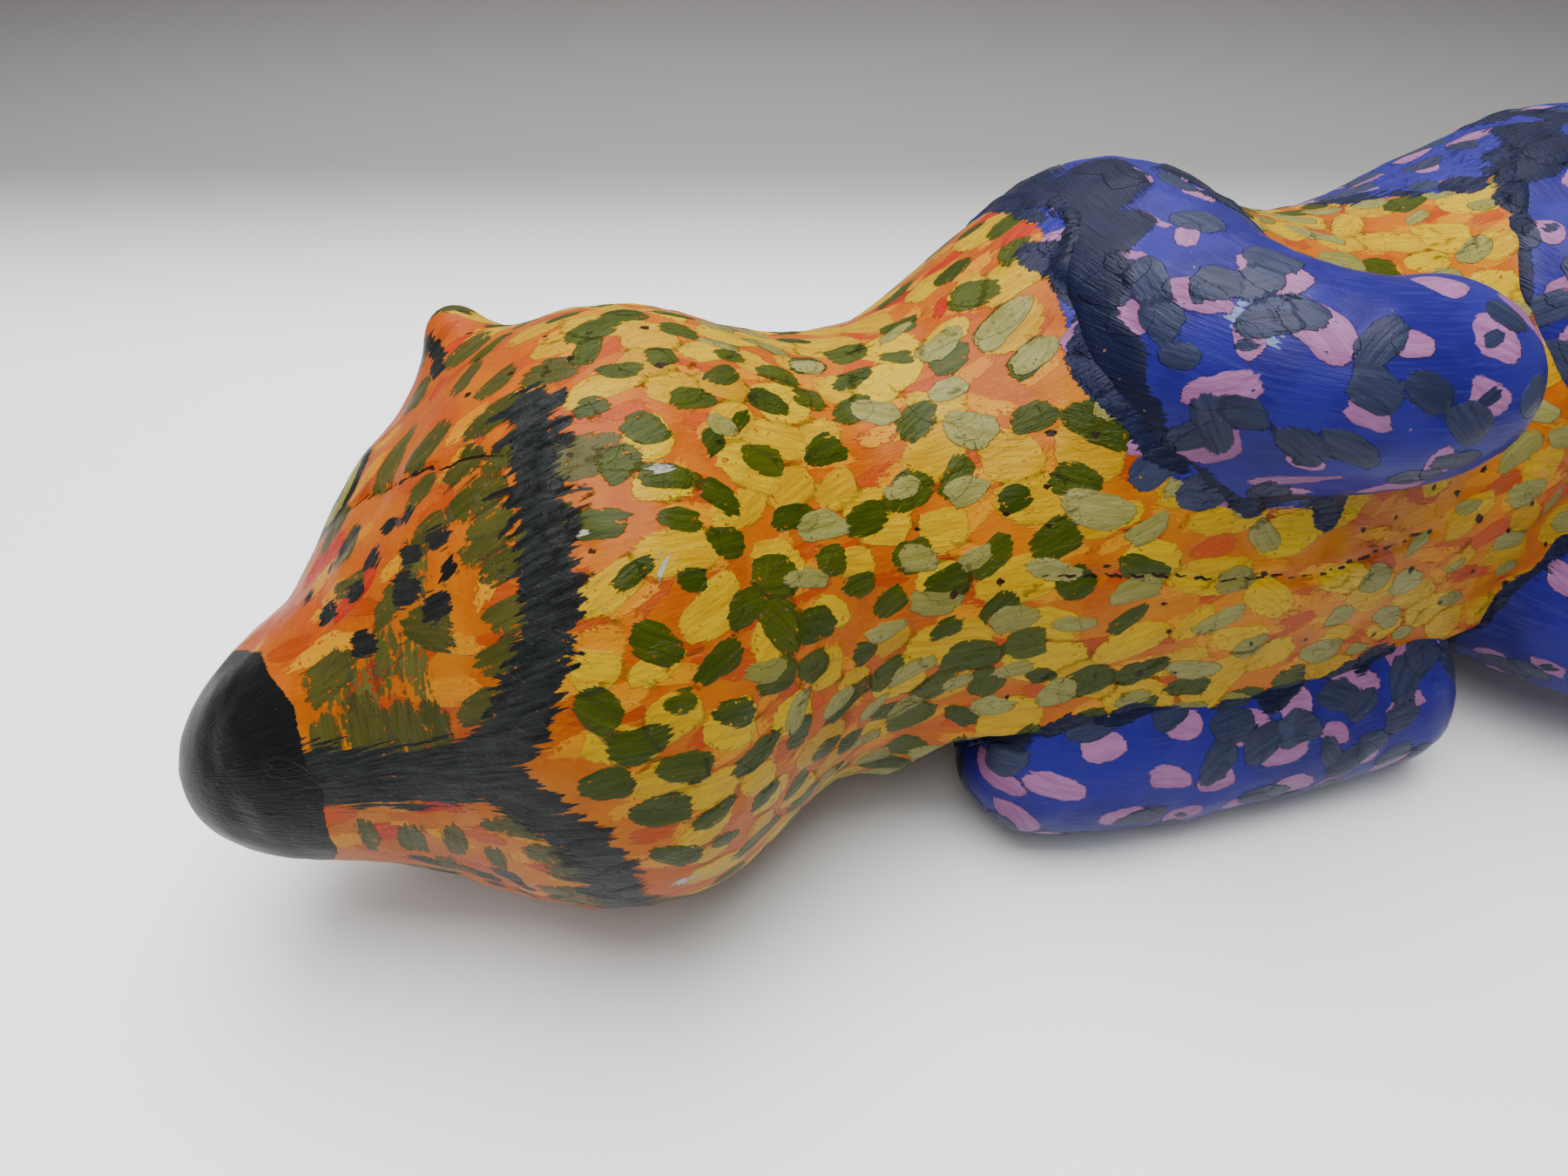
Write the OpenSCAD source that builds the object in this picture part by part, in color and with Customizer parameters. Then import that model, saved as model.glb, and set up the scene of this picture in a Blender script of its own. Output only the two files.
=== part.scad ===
// Carved and painted wooden animal, lying on its right side as it rests on a table.
// X runs from the nose (-X) to the rump (+X), -Y is the belly side, +Z is up.
// The trunk and head are one carved block. Each leg is carved apart, coped to fit the
// trunk, and held by a glued dowel and two sunk nails. A bead of filler closes each seam.
// The tail has a peg that pushes into a socket bored in the rump, and it pulls out again.
// Stations along the body are distances from the nose.

/* [Trunk] */
// Length of the carved block, nose to rump
body_l = 560; // [550:2:570]
// Length of the rounding at the nose
nose_round = 30; // [26:1:34]
// Length of the rounding at the rump
rump_round = 90; // [80:1:100]
// Angle that the belly is turned up at the head
head_roll = 6; // [4:1:8]
// Angle that the belly is turned up at the hips
hip_roll = 12; // [10:1:14]
// Height of an ear above the skull
ear_h = 19; // [12:1:22]
// Height of the bulge over an eye
brow_h = 10; // [6:1:13]

/* [Leg joints] */
// Diameter of a leg dowel
dowel_d = 12; // [10:0.5:13]
// Length of a leg dowel
dowel_l = 54; // [46:1:56]
// Radial gap for glue round a dowel
glue_gap = 0.1; // [0.05:0.05:0.2]
// Diameter of a leg nail
nail_d = 2.8; // [2.2:0.1:3.2]
// Length of a leg nail
nail_l = 55; // [45:1:57]
// Diameter of a nail's head
nail_head_d = 6; // [5:0.5:7]
// Depth of a nail's head under the leg's surface
nail_sink = 4; // [3:0.5:5]
// Width of the bead of filler round a leg
bead_w = 4; // [3:0.5:5]

/* [Tail joint] */
// Diameter of the tail's peg
peg_d = 16; // [14:0.5:18]
// Length of the peg that enters the rump
peg_out = 34; // [28:1:38]
// Length of the peg that is glued into the tail
peg_in = 26; // [20:1:30]
// Radial gap of the push fit round the peg
peg_gap = 0.08; // [0.05:0.01:0.1]

/* [Hidden] */

// Middle of the whole figure's outline, from the nose and from the nose's spine
mid_x = 341;
mid_y = 7.4;
// Drop that sets the lowest point of the figure on the table
rest_z = 0.5;

trunk_rings = 64;
trunk_sides = 40;
leg_rings = 24;
leg_sides = 24;
// Half of the stretch over which a table is averaged
spread = 9;
drill_fn = 40;

// Stations of the trunk: distance from the nose, shift towards the back, height of the
// middle, half the depth from belly to back, and half the width from side to side.
trunk_rows = [
    [-20,  -6, 62, 24, 22],
    [10,   -6, 65, 27, 25],
    [36,   -6, 70, 34, 32],
    [60,   -3, 73, 50, 51],
    [78,   -1, 76, 68, 67],
    [98,    0, 79, 79, 77],
    [120,   1, 81, 83, 81],
    [144,   4, 81, 74, 77],
    [168,   5, 80, 62, 66],
    [190,   3, 80, 58, 61],
    [210,   2, 81, 62, 65],
    [238,   4, 84, 70, 80],
    [268,   4, 85, 76, 82],
    [300,   2, 82, 78, 78],
    [345,   2, 78, 75, 74],
    [385,   4, 79, 74, 76],
    [430,  12, 81, 79, 79],
    [490,  20, 81, 83, 81],
    [560,  20, 84, 68, 72],
    [600,  20, 84, 62, 66]];

// A leg is the middle line's control points and the radius at each of them
front_left = [[[296, 56, 128], [268, 14, 146], [246, -82, 152], [334, -66, 147]], [36, 33, 26, 24]];
front_right = [[[208, -42, 35], [240, -58, 26], [300, -60, 25], [366, -68, 28]], [26, 27, 26, 25]];
hind_left = [[[500, 50, 104], [418, 30, 132], [346, -104, 142], [500, -96, 136]], [38, 36, 28, 22]];
hind_right = [[[490, 14, 52], [410, 4, 38], [344, -104, 54], [506, -106, 42]], [34, 33, 28, 22]];
tail_line = [[[534, 18, 86], [640, 20, 84], [700, 60, 60], [640, 140, 30]], [24, 22, 18, 12]];
// Places of a leg's dowel and nails along the middle line, from 0 to 1
dowel_at = 0.66;
nails_at = [0.33, 0.47];
// Length of a dowel beyond the middle of the leg
dowel_back = 10;
// Length that a blind hole is drilled past its dowel or nail
hole_spare = 2;

function column(rows, k) = [for (r = rows) [r[0], r[k]]];
function soft(s, rows) =
    (lookup(s - spread, rows) + 2 * lookup(s - spread / 2, rows) + 2 * lookup(s, rows)
     + 2 * lookup(s + spread / 2, rows) + lookup(s + spread, rows)) / 8;
back_t = column(trunk_rows, 1);
lift_t = column(trunk_rows, 2);
deep_t = column(trunk_rows, 3);
wide_t = column(trunk_rows, 4);

function round_end(d, q) = d >= q ? 1 : sqrt(max(0, 1 - pow(1 - d / q, 2)));
function bump(ds, da, ws, wa, h) = h * exp(-pow(ds / ws, 2) - pow(da / wa, 2));
// The same bump on both sides of the face
function both(s, a, s0, a0, ws, wa, h) =
    bump(s - s0, a - a0, ws, wa, h) + bump(s - s0, a - 360 + a0, ws, wa, h);
function relief(s, a) = both(s, a, 91, 131, 12, 14, ear_h) + both(s, a, 60, 122, 13, 18, brow_h);
function roll_at(s) = head_roll + (hip_roll - head_roll) * min(1, max(0, (s - 120) / 150));
function ring_s(i) =
    let (u = i / trunk_rings) body_l * (0.5 * u + 0.5 * (1 - cos(180 * u)) / 2);
function spine(s) = [s, soft(s, back_t), soft(s, lift_t)];
// A point of the trunk: angle a is 0 at the belly, 90 at the left flank, 180 at the back
function skin(s, a, grow) =
    let (q = round_end(s, nose_round) * round_end(body_l - s, rump_round),
         r = roll_at(s),
         v = (soft(s, deep_t) * q + relief(s, a) + grow) * cos(a),
         w = (soft(s, wide_t) * q + relief(s, a) + grow) * sin(a))
    spine(s) + [0, w * sin(r) - v * cos(r), v * sin(r) + w * cos(r)];

function unit(v) = v / norm(v);
function steps(p) = [for (i = [0:len(p) - 2]) p[i + 1] - p[i]];
function bezier(p, t) = len(p) == 1 ? p[0] : bezier([for (i = [0:len(p) - 2]) p[i] + steps(p)[i] * t], t);
// Rings lie closer together at both ends, which are round
function limb_t(i) = let (u = i / (leg_rings + 0.25)) 0.35 * u + 0.65 * (1 - cos(180 * u)) / 2;
function limb_ring(limb, t, grow) =
    let (c = bezier(limb[0], t),
         along = unit(bezier(steps(limb[0]), t)),
         r = bezier(limb[1], t) * round_end(norm(c - limb[0][3]), limb[1][3])
             * round_end(norm(c - limb[0][0]), limb[1][0]) + grow,
         side = unit(cross(along, [0, 0, 1])),
         over = cross(side, along))
    [for (j = [0:leg_sides - 1]) let (a = 360 * j / leg_sides) c + r * (cos(a) * side + sin(a) * over)];

// Places a shape that is drawn from the nose and the spine in the figure's own frame
module place() {
    translate([-mid_x, -mid_y, -rest_z]) children();
}

// Closed solid through a list of rings, each with m points
module loft(rings, m) {
    last = len(rings) - 1;
    quads = [for (i = [0:last - 1]) for (j = [0:m - 1])
        [i * m + j, i * m + (j + 1) % m, (i + 1) * m + (j + 1) % m, (i + 1) * m + j]];
    walls = [for (q = quads) each [[q[0], q[1], q[2]], [q[0], q[2], q[3]]]];
    first_end = [for (j = [m - 1:-1:0]) j];
    last_end = [for (j = [0:m - 1]) last * m + j];
    polyhedron([for (r = rings) each r], concat(walls, [first_end, last_end]), convexity = 6);
}

module trunk_solid(from = 0.4, to = trunk_rings - 0.4, grow = 0) {
    loft([for (i = [from:1:to])
        [for (j = [0:trunk_sides - 1]) skin(ring_s(i), 360 * j / trunk_sides, grow)]], trunk_sides);
}

// The stretch of the trunk that a leg between two rings can touch
module trunk_near(from, to, grow = 0) {
    trunk_solid(from + 0.4, to + 0.4, grow);
}

module limb_solid(limb, grow = 0) {
    loft([for (i = [0.25:1:leg_rings]) limb_ring(limb, limb_t(i), grow)], leg_sides);
}

// Moves to the point t of a limb's middle line, with -Z pointing at the spine
module at_limb(limb, t) {
    c = bezier(limb[0], t);
    out = unit(c - spine(c[0]));
    translate(c) rotate([0, acos(out[2]), atan2(out[1], out[0])]) children();
}
function radius_at(limb, t) = bezier(limb[1], t);

module drill(limb) {
    at_limb(limb, dowel_at)
    translate([0, 0, dowel_back - dowel_l - hole_spare])
    cylinder(h = dowel_l + 2 * hole_spare, d = dowel_d + 2 * glue_gap, $fn = drill_fn);
    for (t = nails_at) {
        at_limb(limb, t) {
            translate([0, 0, radius_at(limb, t) - nail_sink - nail_l - hole_spare])
            cylinder(h = nail_l + hole_spare, d = nail_d + glue_gap, $fn = drill_fn);
            translate([0, 0, radius_at(limb, t) - nail_sink - 1.5])
            cylinder(h = 3 * nail_sink, d = nail_head_d + 2 * glue_gap, $fn = drill_fn);
        }
    }
}

module head_and_trunk() {
    color("darkorange") place() difference() {
        trunk_solid();
        for (limb = [front_left, front_right, hind_left, hind_right]) drill(limb);
        tail_socket();
    }
}

module tail_socket() {
    at_tail() translate([0, 0, -peg_out - hole_spare])
    cylinder(h = peg_out + peg_in + hole_spare, d = peg_d + 2 * peg_gap, $fn = drill_fn);
}

// Moves to the middle of the rump, with +Z pointing out along the tail's peg
module at_tail() {
    translate([body_l, tail_line[0][0][1], tail_line[0][0][2]]) rotate([0, 90, 0]) children();
}

module leg(limb, from, to) {
    color("royalblue") place() difference() {
        limb_solid(limb);
        trunk_near(from, to);
        drill(limb);
    }
}

module dowel(limb) {
    chamfer = 1.5;
    color("burlywood") place() at_limb(limb, dowel_at) translate([0, 0, dowel_back - dowel_l]) {
        cylinder(h = chamfer, d1 = dowel_d - 2 * chamfer, d2 = dowel_d, $fn = drill_fn);
        translate([0, 0, chamfer])
        cylinder(h = dowel_l - 2 * chamfer, d = dowel_d, $fn = drill_fn);
        translate([0, 0, dowel_l - chamfer])
        cylinder(h = chamfer, d1 = dowel_d, d2 = dowel_d - 2 * chamfer, $fn = drill_fn);
    }
}

module nails(limb) {
    color("slategray") place() for (t = nails_at) {
        at_limb(limb, t) translate([0, 0, radius_at(limb, t) - nail_sink - nail_l]) {
            cylinder(h = 5, d1 = 0.4, d2 = nail_d, $fn = drill_fn);
            translate([0, 0, 5]) cylinder(h = nail_l - 6, d = nail_d, $fn = drill_fn);
            translate([0, 0, nail_l - 1]) cylinder(h = 1, d = nail_head_d, $fn = drill_fn);
        }
    }
}

module nail_plugs() {
    color("wheat") place() for (limb = [front_left, front_right, hind_left, hind_right]) {
        for (t = nails_at) {
            at_limb(limb, t) translate([0, 0, radius_at(limb, t) - nail_sink + 0.2])
            cylinder(h = nail_sink - 1, d = nail_head_d, $fn = drill_fn);
        }
    }
}

module filler(limb, from, to) {
    color("navy") place() difference() {
        intersection() {
            limb_solid(limb, bead_w);
            trunk_near(from, to, bead_w);
        }
        limb_solid(limb);
        trunk_near(from, to);
    }
}

module left_front_leg() { leg(front_left, 26, 44); }
module right_front_leg() { leg(front_right, 22, 44); }
module left_hind_leg() { leg(hind_left, 36, 62); }
module right_hind_leg() { leg(hind_right, 36, 62); }
module left_front_dowel() { dowel(front_left); }
module right_front_dowel() { dowel(front_right); }
module left_hind_dowel() { dowel(hind_left); }
module right_hind_dowel() { dowel(hind_right); }
module left_front_nails() { nails(front_left); }
module right_front_nails() { nails(front_right); }
module left_hind_nails() { nails(hind_left); }
module right_hind_nails() { nails(hind_right); }
module left_front_filler() { filler(front_left, 26, 44); }
module right_front_filler() { filler(front_right, 22, 44); }
module left_hind_filler() { filler(hind_left, 36, 62); }
module right_hind_filler() { filler(hind_right, 36, 62); }

module tail() {
    color("darkorange") place() difference() {
        limb_solid(tail_line);
        trunk_near(48, 63, 0.3);
        at_tail() translate([0, 0, -peg_out])
        cylinder(h = peg_out + peg_in + hole_spare, d = peg_d + 2 * glue_gap, $fn = drill_fn);
    }
}

module tail_peg() {
    color("burlywood") place() at_tail() translate([0, 0, -peg_out])
    cylinder(h = peg_out + peg_in, d = peg_d, $fn = drill_fn);
}

head_and_trunk();
left_front_leg();
right_front_leg();
left_hind_leg();
right_hind_leg();
left_front_dowel();
right_front_dowel();
left_hind_dowel();
right_hind_dowel();
left_front_nails();
right_front_nails();
left_hind_nails();
right_hind_nails();
left_front_filler();
right_front_filler();
left_hind_filler();
right_hind_filler();
nail_plugs();
tail();
tail_peg();
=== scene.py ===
"""The looks of a carved and painted wooden animal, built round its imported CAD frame.

The trunk, the legs and the tail are replaced by finer surfaces of the same shape. Each is a grid
of points, rows along the piece and columns round it. Brush strokes are laid on that grid as
distances to the edge of the nearest stroke, and the materials turn those distances to paint.
Places are in metres, and sizes of strokes and distances to them are in millimetres.
"""

import math

import bpy
import numpy as np
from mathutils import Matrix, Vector
from mathutils.bvhtree import BVHTree


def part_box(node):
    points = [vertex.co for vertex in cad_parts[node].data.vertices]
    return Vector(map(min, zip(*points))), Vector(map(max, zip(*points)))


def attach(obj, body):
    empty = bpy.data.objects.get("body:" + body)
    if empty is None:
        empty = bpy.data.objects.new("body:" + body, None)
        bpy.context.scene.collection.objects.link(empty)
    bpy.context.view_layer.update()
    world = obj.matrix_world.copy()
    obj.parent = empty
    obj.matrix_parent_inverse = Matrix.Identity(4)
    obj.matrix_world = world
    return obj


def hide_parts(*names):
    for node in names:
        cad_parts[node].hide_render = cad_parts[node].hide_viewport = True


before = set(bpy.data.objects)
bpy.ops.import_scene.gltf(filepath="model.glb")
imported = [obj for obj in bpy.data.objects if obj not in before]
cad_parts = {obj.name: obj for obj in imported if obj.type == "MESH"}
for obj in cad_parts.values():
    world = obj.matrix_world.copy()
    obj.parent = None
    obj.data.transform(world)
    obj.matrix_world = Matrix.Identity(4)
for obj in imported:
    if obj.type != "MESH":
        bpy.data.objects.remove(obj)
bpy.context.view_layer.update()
MM = 0.001


# ---------------- arrays


def unit(v):
    """Vectors along the last axis, each made one long."""
    return v / np.maximum(np.linalg.norm(v, axis=-1, keepdims=True), 1e-12)


def ease(x, low, high):
    """0 below low, 1 above high, and smooth between."""
    t = np.clip((x - low) / (high - low), 0, 1)
    return t * t * (3 - 2 * t)


def waves(points, size, seed):
    """Smooth noise of about -1 to 1 at points, with lumps about size millimetres apart."""
    random = np.random.default_rng(seed)
    total = np.zeros(points.shape[:-1])
    count = 36
    for _ in range(count):
        way = unit(random.normal(size=3))
        length = size * MM * random.uniform(0.75, 1.5)
        total += np.sin(points @ way * (2 * math.pi / length) + random.uniform(0, 2 * math.pi))
    return total * math.sqrt(2 / count) * 0.7


def blur(grid, rows, columns):
    """Gaussian average over a grid whose columns close on themselves."""
    for axis, width in ((0, rows), (1, columns)):
        reach = int(math.ceil(2.6 * width))
        weights = np.exp(-0.5 * (np.arange(-reach, reach + 1) / width) ** 2)
        weights /= weights.sum()
        mode = "edge" if axis == 0 else "wrap"
        pads = [(0, 0), (0, 0)]
        pads[axis] = (reach, reach)
        padded = np.pad(grid, pads, mode=mode)
        count = grid.shape[axis]
        grid = sum(w * np.take(padded, range(k, k + count), axis) for k, w in enumerate(weights))
    return grid


def fill_pits(grid, reach):
    """Raises narrow pits, such as drilled holes, to the level round them."""
    for pick in (np.maximum, np.minimum):
        padded = np.pad(grid, [(reach, reach), (0, 0)], mode="edge")
        turned = [np.roll(padded, k, 1) for k in range(-reach, reach + 1)]
        across = pick.reduce(turned)
        grid = pick.reduce([across[k : k + len(grid)] for k in range(2 * reach + 1)])
    return grid


def polyline_distance(points, path):
    """Distance from each point to the nearest of a path's points, and which one that is."""
    best = np.full(points.shape[:-1], np.inf)
    which = np.zeros(points.shape[:-1], int)
    for k, place in enumerate(path):
        far = np.linalg.norm(points - place, axis=-1)
        nearer = far < best
        best[nearer] = far[nearer]
        which[nearer] = k
    return best, which


# ---------------- painted surfaces

FAR = 20.0


class Skin:
    """A closed surface as a grid of points, with the strokes painted on it."""

    def __init__(self, points, along, angle):
        self.points = points
        self.along = along
        self.angle = angle
        self.row_step = np.linalg.norm(np.gradient(points, axis=0), axis=-1)
        self.row_way = unit(np.gradient(points, axis=0))
        ring = (np.roll(points, -1, 1) - np.roll(points, 1, 1)) / 2
        self.column_step = np.linalg.norm(ring, axis=-1)
        self.column_way = unit(ring)
        self.normal = unit(np.cross(self.row_way, self.column_way))
        self.layers = {}
        self.places = {}
        self.tints = {}

    def layer(self, name):
        """Distance in millimetres to the edge of the nearest stroke, below 0 inside it."""
        if name not in self.layers:
            self.layers[name] = np.full(self.along.shape, FAR)
            self.places[name] = np.zeros(self.along.shape + (3,))
        return self.layers[name]

    def find(self, along, angle):
        """The grid point at a distance from the piece's start and an angle round it."""
        turn = (self.angle - angle + 180) % 360 - 180
        off = (self.along - along) ** 2 + (turn * 1.2) ** 2
        return np.unravel_index(np.argmin(off), off.shape)

    def stroke(self, name, where, turn, half_long, half_wide, random):
        """A dab of paint: turn is its angle from the rows' way, its sizes are millimetres."""
        layer = self.layer(name)
        row, column = where
        rows, columns = layer.shape
        reach = 1.7 * max(half_long, half_wide) * MM
        down = int(reach / max(self.row_step[row, column], 1e-5)) + 1
        side = min(int(reach / max(self.column_step[row, column], 1e-5)) + 1, columns // 2)
        r = np.arange(max(0, row - down), min(rows, row + down + 1))
        c = np.arange(column - side, column + side) % columns
        cut = np.ix_(r, c)
        way = self.row_way[where] * math.cos(turn) + self.column_way[where] * math.sin(turn)
        cross = np.cross(self.normal[where], way)
        away = (self.points[cut] - self.points[where]) / MM
        x, y = away @ way, away @ cross
        bend = random.uniform(-0.012, 0.012)
        y = y + bend * x * x
        round_it = np.arctan2(y / half_wide, x / half_long)
        outline = 1 + 0.09 * np.sin(2 * round_it + random.uniform(0, 6))
        outline += 0.06 * np.sin(3 * round_it + random.uniform(0, 6))
        power = 2.4
        size = (np.abs(x / half_long) ** power + np.abs(y / half_wide) ** power) ** (1 / power)
        edge = (size / outline - 1) * min(half_long, half_wide)
        nearer = edge < layer[cut]
        layer[cut] = np.where(nearer, edge, layer[cut])
        stamp = np.stack([x, y, np.full_like(x, random.uniform(0, 50))], -1)
        self.places[name][cut] = np.where(nearer[..., None], stamp, self.places[name][cut])

    def path_points(self, path, step=1.5):
        """Points on the surface along a path of (distance along, angle) corners."""
        places = []
        for (s0, a0), (s1, a1) in zip(path, path[1:]):
            start, end = self.points[self.find(s0, a0)], self.points[self.find(s1, a1)]
            count = max(2, int(np.linalg.norm(end - start) / (step * MM)))
            for t in np.linspace(0, 1, count):
                places.append(self.points[self.find(s0 + (s1 - s0) * t, a0 + (a1 - a0) * t)])
        return np.array(places)

    def band(self, name, path, half_wide):
        """A painted line along a path, or half_wide may give a width at each of its ends."""
        centre = self.path_points(path)
        wide = np.linspace(*half_wide, len(centre)) if np.ndim(half_wide) else half_wide
        far, which = polyline_distance(self.points, centre)
        edge = far / MM - (wide[which] if np.ndim(wide) else wide)
        self.region(name, edge)

    def region(self, name, edge):
        """A painted area, from its signed distance in millimetres."""
        layer = self.layer(name)
        nearer = edge < layer
        flow = np.stack([self.along, self.angle * 1.2, np.zeros_like(self.along)], -1)
        self.places[name] = np.where(nearer[..., None], flow, self.places[name])
        self.layers[name] = np.minimum(layer, edge)

    def scatter(self, name, gap, half_long, half_wide, chance, seed, swing=0.25, scale=None):
        """Dabs at least gap apart; chance is how likely each place keeps its dab."""
        self.layer(name)
        chance = np.broadcast_to(chance, self.along.shape)
        random = np.random.default_rng(seed)
        scale = np.ones(self.along.shape) if scale is None else scale
        area = (self.row_step * self.column_step * (chance > 0.01) / scale**2).ravel()
        tries = int(area.sum() / (gap * MM) ** 2 * 9)
        picks = random.choice(area.size, tries, p=area / area.sum())
        kept = np.zeros((0, 3))
        made = []
        squeeze = half_wide / half_long
        for pick in picks:
            where = np.unravel_index(pick, self.along.shape)
            place = self.points[where]
            away = kept - place
            lengthwise = away @ self.row_way[where]
            sideways = np.maximum((away**2).sum(1) - lengthwise**2, 0)
            off = np.sqrt(sideways + (lengthwise * squeeze**0.5) ** 2)
            if len(kept) and off.min() < gap * scale[where] * MM:
                continue
            kept = np.vstack([kept, place])
            if random.random() > chance[where]:
                continue
            size = random.uniform(0.75, 1.25) * scale[where]
            long_size = half_long * size * random.uniform(0.8, 1.25)
            wide_size = half_wide * size * random.uniform(0.8, 1.2)
            self.stroke(name, where, random.normal(0, swing), long_size, wide_size, random)
            made.append(where)
        return made

    def beside(self, name, dabs, shift, half_long, half_wide, chance, seed):
        """Dabs that partly cover others: each is up to shift millimetres away from one of them."""
        self.layer(name)
        random = np.random.default_rng(seed)
        for row, column in dabs:
            if random.random() > chance:
                continue
            far, way = shift * random.uniform(0.7, 1.1) * MM, random.uniform(0, 2 * math.pi)
            down = int(far * math.cos(way) / self.row_step[row, column])
            side = int(far * math.sin(way) / self.column_step[row, column])
            rows, columns = self.along.shape
            where = (min(max(row + down, 0), rows - 1), (column + side) % columns)
            size = random.uniform(0.8, 1.2)
            turn = random.normal(0, 0.5)
            self.stroke(name, where, turn, half_long * size, half_wide * size, random)

    def mesh(self, name, socket=None, extra=None):
        """The closed mesh, its paint layers as attributes. socket is extra rings at the end."""
        rows, columns = self.along.shape
        points = self.points.reshape(-1, 3)
        ends = [self.points[0].mean(0), self.points[-1].mean(0)]
        added = 0
        if socket is not None:
            points = np.vstack([points, socket.reshape(-1, 3)])
            added = len(socket)
            ends[1] = socket[-1].mean(0)
        verts = np.vstack([points, ends])
        all_rows = rows + added
        i, j = np.meshgrid(np.arange(all_rows - 1), np.arange(columns), indexing="ij")
        k = (j + 1) % columns
        here, after = i * columns, (i + 1) * columns
        quads = np.stack([after + j, after + k, here + k, here + j], -1).reshape(-1, 4)
        j, k = j[0], k[0]
        first, last = len(verts) - 2, len(verts) - 1
        base = (all_rows - 1) * columns
        front = np.stack([np.full(columns, first), j, k], -1)
        rear = np.stack([np.full(columns, last), base + k, base + j], -1)
        mesh = bpy.data.meshes.new(name)
        mesh.from_pydata(verts.tolist(), [], quads.tolist() + front.tolist() + rear.tolist())
        mesh.polygons.foreach_set("use_smooth", np.ones(len(mesh.polygons), bool))
        spare = added * columns
        bare = np.concatenate([np.zeros(rows * columns), np.ones(spare), [0, added > 0]])
        if extra is not None:
            bare[: rows * columns] = extra.ravel()
        write(mesh, "bare", bare)
        for grids, unseen in ((self.layers, FAR), (self.tints, 0)):
            for layer, grid in grids.items():
                caps = [grid[0].mean(), grid[-1].mean()]
                write(mesh, layer, np.concatenate([grid.ravel(), np.full(spare, unseen), caps]))
        turn, girth = np.radians(self.angle), self.girth()
        flow = np.stack([self.along, girth * np.cos(turn), girth * np.sin(turn)], -1)
        vectors = {layer + "_at": grid for layer, grid in self.places.items()}
        for layer, grid in {**vectors, "flow": flow}.items():
            grid = grid.reshape(-1, 3)
            write(mesh, layer, np.vstack([grid, np.zeros((spare, 3)), grid[:1], grid[-1:]]))
        return add_object(name, mesh)

    def girth(self):
        """Radius in millimetres of a circle as long as each row."""
        return (self.column_step.sum(1) / MM / (2 * math.pi))[:, None] * np.ones_like(self.along)


def add_object(name, data):
    """A new object in the scene."""
    thing = bpy.data.objects.new(name, data)
    bpy.context.scene.collection.objects.link(thing)
    return thing


def mesh_points(mesh):
    """A mesh's points, one to a row."""
    flat = np.zeros(len(mesh.vertices) * 3)
    mesh.vertices.foreach_get("co", flat)
    return flat.reshape(-1, 3)


def write(mesh, name, values):
    """Stores a number or a vector at each point of a mesh."""
    values = np.asarray(values, np.float32)
    if values.ndim == 1:
        mesh.attributes.new(name, "FLOAT", "POINT").data.foreach_set("value", values)
    else:
        mesh.attributes.new(name, "FLOAT_VECTOR", "POINT").data.foreach_set("vector", values.ravel())


# ---------------- the trunk's shape

# The trunk's roll about X in degrees, and where it turns from one to the other
HEAD_ROLL, HIP_ROLL = 6.0, 12.0
ROLL_FROM, ROLL_TO = 120.0, 270.0
# The rays to the surface fan out round these depths at the two ends
NOSE_FAN = 32 * MM
RUMP_FAN = 75 * MM
TRUNK_ROWS, TRUNK_COLUMNS = 460, 390
# The rows run between these shares of the whole way from the nose's tip to the rump's
FIRST_SHARE, LAST_SHARE = 0.004, 0.9985
# The frame is sampled at one in this many rows and columns
COARSE = 3
RUMP_ROWS = 90

CAD_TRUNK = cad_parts["head_and_trunk"].data
trunk_low, trunk_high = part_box("head_and_trunk")
NOSE_X = trunk_low.x
RUMP_X = trunk_high.x
peg_low, peg_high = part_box("tail_peg")
PEG_AXIS = np.array([(peg_low.y + peg_high.y) / 2, (peg_low.z + peg_high.z) / 2])
SOCKET_R = (peg_high.y - peg_low.y) / 2 + 0.08 * MM
SOCKET_END = peg_low.x - 2 * MM


def spine_table():
    """Middles of the trunk's slices, from the frame, as rows of x, y and z."""
    points = mesh_points(CAD_TRUNK)
    table = []
    for x in np.arange(NOSE_X + 20 * MM, RUMP_X - 60 * MM, 12 * MM):
        near = points[np.abs(points[:, 0] - x) < 9 * MM]
        table.append([x, *(near[:, 1:].min(0) + near[:, 1:].max(0)) / 2])
    table = np.array(table)
    for k in (1, 2):
        padded = np.pad(table[:, k], 2, mode="edge")
        table[:, k] = np.convolve(padded, [0.1, 0.2, 0.4, 0.2, 0.1], "valid")
    return table


SPINE = spine_table()


def spine_at(x):
    """Middle of the trunk at x, which meets the tail peg's axis near the rump."""
    share = ease(x, RUMP_X - 130 * MM, RUMP_X - RUMP_FAN)
    y = np.interp(x, SPINE[:, 0], SPINE[:, 1]) * (1 - share) + PEG_AXIS[0] * share
    z = np.interp(x, SPINE[:, 0], SPINE[:, 2]) * (1 - share) + PEG_AXIS[1] * share
    return np.stack([x, y, z], -1)


def roll_at(x):
    s = (x - NOSE_X) / MM
    share = np.clip((s - ROLL_FROM) / (ROLL_TO - ROLL_FROM), 0, 1)
    return np.radians(HEAD_ROLL + (HIP_ROLL - HEAD_ROLL) * share)


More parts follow.
